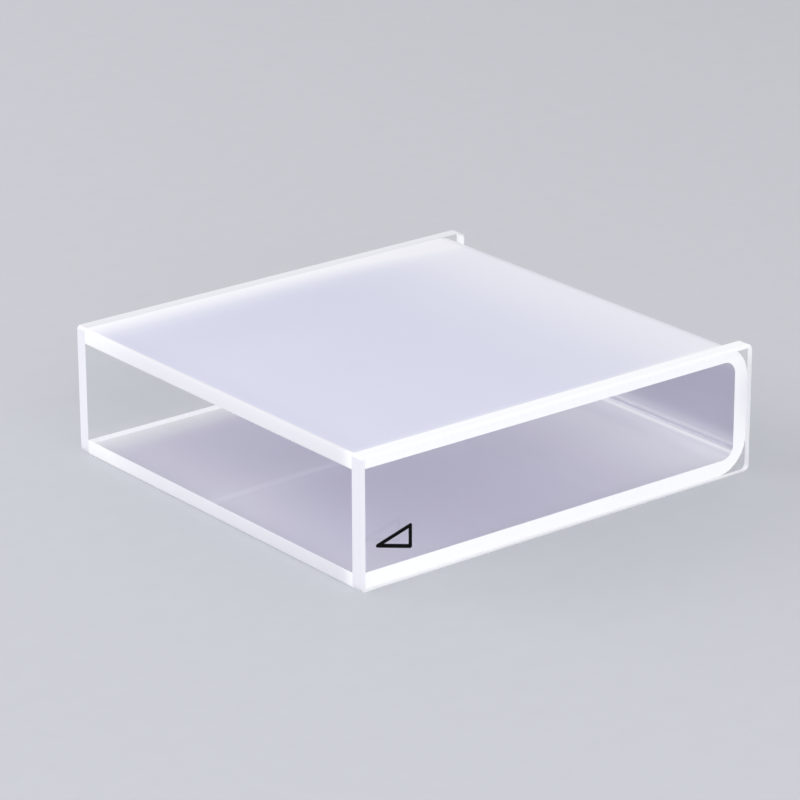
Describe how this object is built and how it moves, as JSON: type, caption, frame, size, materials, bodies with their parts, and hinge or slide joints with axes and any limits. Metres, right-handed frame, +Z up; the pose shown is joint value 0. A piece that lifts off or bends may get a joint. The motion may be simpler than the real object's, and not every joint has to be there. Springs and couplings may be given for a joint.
{
  "type": "cuvette",
  "caption": "Rectangular long-path quartz cuvette with a U-shaped frosted body, open at one end, and two clear polished windows.",
  "frame": {"origin": "centre of the footprint on the surface that the cell lies on, on its lower broad side", "axes": "+Z up across the cell's width, -X out of the open mouth, +X towards the base, -Y out of the front window, which has the mark, with the light path along Y"},
  "size_m": [0.045, 0.043, 0.0124],
  "materials": {
    "frosted_quartz": "ground, matt and milky outside, smooth inside",
    "clear_quartz": "polished clear faces with ground white edges",
    "black_ink": "matt fired ink, level with the glass"
  },
  "bodies": {
    "root": {"body": "frosted_quartz", "front_window": "clear_quartz", "rear_window": "clear_quartz", "orientation_mark": "black_ink"}
  },
  "joints": []
}
